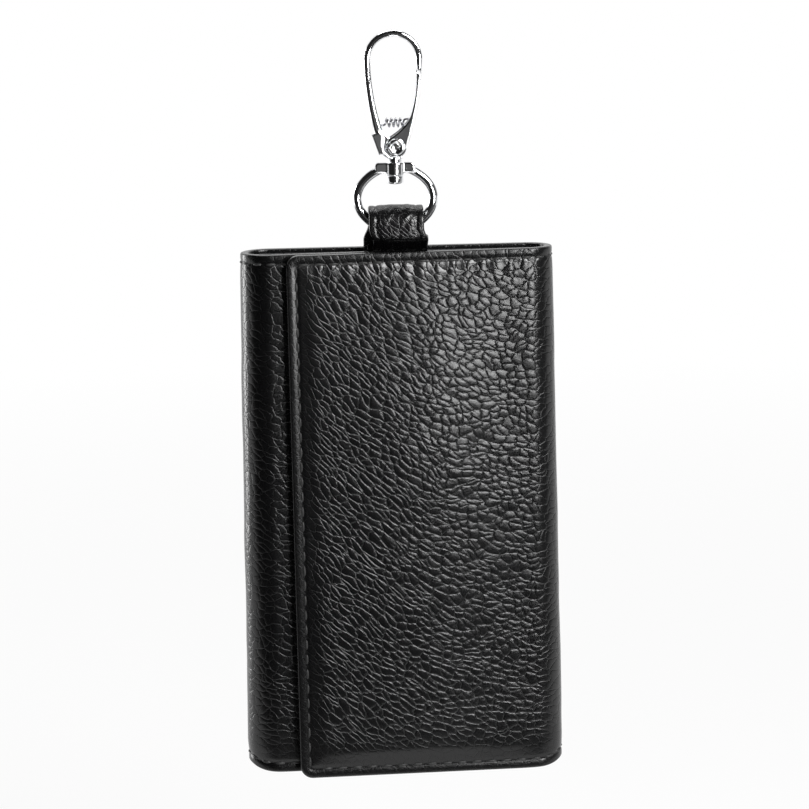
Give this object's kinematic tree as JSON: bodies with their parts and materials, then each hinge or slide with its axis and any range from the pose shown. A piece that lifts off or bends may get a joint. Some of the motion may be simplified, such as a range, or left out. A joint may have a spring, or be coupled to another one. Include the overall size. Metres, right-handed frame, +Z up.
{
  "type": "key case",
  "caption": "Trifold leather key case with hooks for keys inside, a leather loop, an oval ring and a swivel clasp with a sprung gate.",
  "frame": {"origin": "inner top of the clasp's hook, where the case hangs", "axes": "+Z up, +Y out of the back of the case, +X to the right seen from the front"},
  "size_m": [0.065, 0.0144, 0.1561],
  "materials": {
    "leather": "pebbled grain, semi-matt black",
    "lining": "smooth, matt black",
    "board": "pressed leather board, unseen",
    "chrome": "polished plating",
    "spring_steel": "bright drawn wire",
    "disc_steel": "plated, unseen"
  },
  "bodies": {
    "clasp": {"clasp_body": "chrome", "swivel_pin": "chrome", "gate_rivet": "chrome", "gate_spring": "spring_steel"},
    "gate": {"clasp_gate": "chrome"},
    "ring": {"swivel_ring": "chrome"},
    "case": {"back_leather": "leather", "back_board": "board", "back_lining": "lining", "loop_strap": "leather", "key_plate": "chrome", "key_plate_rivets": "chrome", "key_rod": "chrome"},
    "right_fold": {"right_fold_leather": "leather", "right_fold_lining": "lining"},
    "front_flap": {"front_flap_leather": "leather", "front_flap_board": "board", "front_flap_lining": "lining", "closure_magnet": "disc_steel"},
    "left_fold": {"left_fold_leather": "leather", "left_fold_lining": "lining"},
    "inner_flap": {"inner_flap_leather": "leather", "inner_flap_board": "board", "inner_flap_lining": "lining", "closure_keeper": "disc_steel"},
    "key_hook_1": {"key_hook_1": "chrome"},
    "key_hook_2": {"key_hook_2": "chrome"},
    "key_hook_3": {"key_hook_3": "chrome"},
    "key_hook_4": {"key_hook_4": "chrome"},
    "key_hook_5": {"key_hook_5": "chrome"},
    "key_hook_6": {"key_hook_6": "chrome"}
  },
  "joints": [
    {"name": "clasp_swivel", "type": "hinge", "parent": "clasp", "child": "ring", "pos_m": [0, 0, -0.02615], "axis": [0, 0, 1], "continuous": true},
    {"name": "gate_pivot", "type": "hinge", "parent": "clasp", "child": "gate", "pos_m": [0.0003, 0, -0.0228], "axis": [0, -1, 0], "range_deg": [0, 22], "stiffness_Nm_per_rad": 0.02, "springref_deg": -17.19, "deforming": ["gate_spring"]},
    {"name": "case_swing", "type": "hinge", "parent": "ring", "child": "case", "pos_m": [0, 0, -0.03898], "axis": [1, 0, 0], "range_deg": [-100, 100]},
    {"name": "flap_fold", "type": "hinge", "parent": "case", "child": "right_fold", "pos_m": [0.03096, 0.00451, -0.09947], "axis": [0, 0, 1], "range_deg": [0, 90]},
    {"name": "flap_crease", "type": "hinge", "parent": "right_fold", "child": "front_flap", "pos_m": [0.03115, -0.00271, -0.09947], "axis": [0, 0, 1], "range_deg": [0, 85.5]},
    {"name": "left_fold_turn", "type": "hinge", "parent": "case", "child": "left_fold", "pos_m": [-0.03073, 0.00428, -0.09947], "axis": [0, 0, 1], "range_deg": [-90, 0]},
    {"name": "inner_crease", "type": "hinge", "parent": "left_fold", "child": "inner_flap", "pos_m": [-0.0305, -0.00451, -0.09947], "axis": [0, 0, 1], "range_deg": [-94.5, 0]},
    {"name": "key_hook_1_swing", "type": "hinge", "parent": "case", "child": "key_hook_1", "pos_m": [-0.0185, 0.00165, -0.06373], "axis": [-1, 0, 0], "range_deg": [-3, 6]},
    {"name": "key_hook_2_swing", "type": "hinge", "parent": "case", "child": "key_hook_2", "pos_m": [-0.0111, 0.00165, -0.06373], "axis": [-1, 0, 0], "range_deg": [-3, 6]},
    {"name": "key_hook_3_swing", "type": "hinge", "parent": "case", "child": "key_hook_3", "pos_m": [-0.0037, 0.00165, -0.06373], "axis": [-1, 0, 0], "range_deg": [-3, 6]},
    {"name": "key_hook_4_swing", "type": "hinge", "parent": "case", "child": "key_hook_4", "pos_m": [0.0037, 0.00165, -0.06373], "axis": [-1, 0, 0], "range_deg": [-3, 6]},
    {"name": "key_hook_5_swing", "type": "hinge", "parent": "case", "child": "key_hook_5", "pos_m": [0.0111, 0.00165, -0.06373], "axis": [-1, 0, 0], "range_deg": [-3, 6]},
    {"name": "key_hook_6_swing", "type": "hinge", "parent": "case", "child": "key_hook_6", "pos_m": [0.0185, 0.00165, -0.06373], "axis": [-1, 0, 0], "range_deg": [-3, 6]}
  ],
  "couplings": [
    {"joint": "flap_crease", "follows": "flap_fold", "ratio": 0.95},
    {"joint": "left_fold_turn", "follows": "flap_fold", "ratio": -1},
    {"joint": "inner_crease", "follows": "flap_fold", "ratio": -1.05}
  ]
}
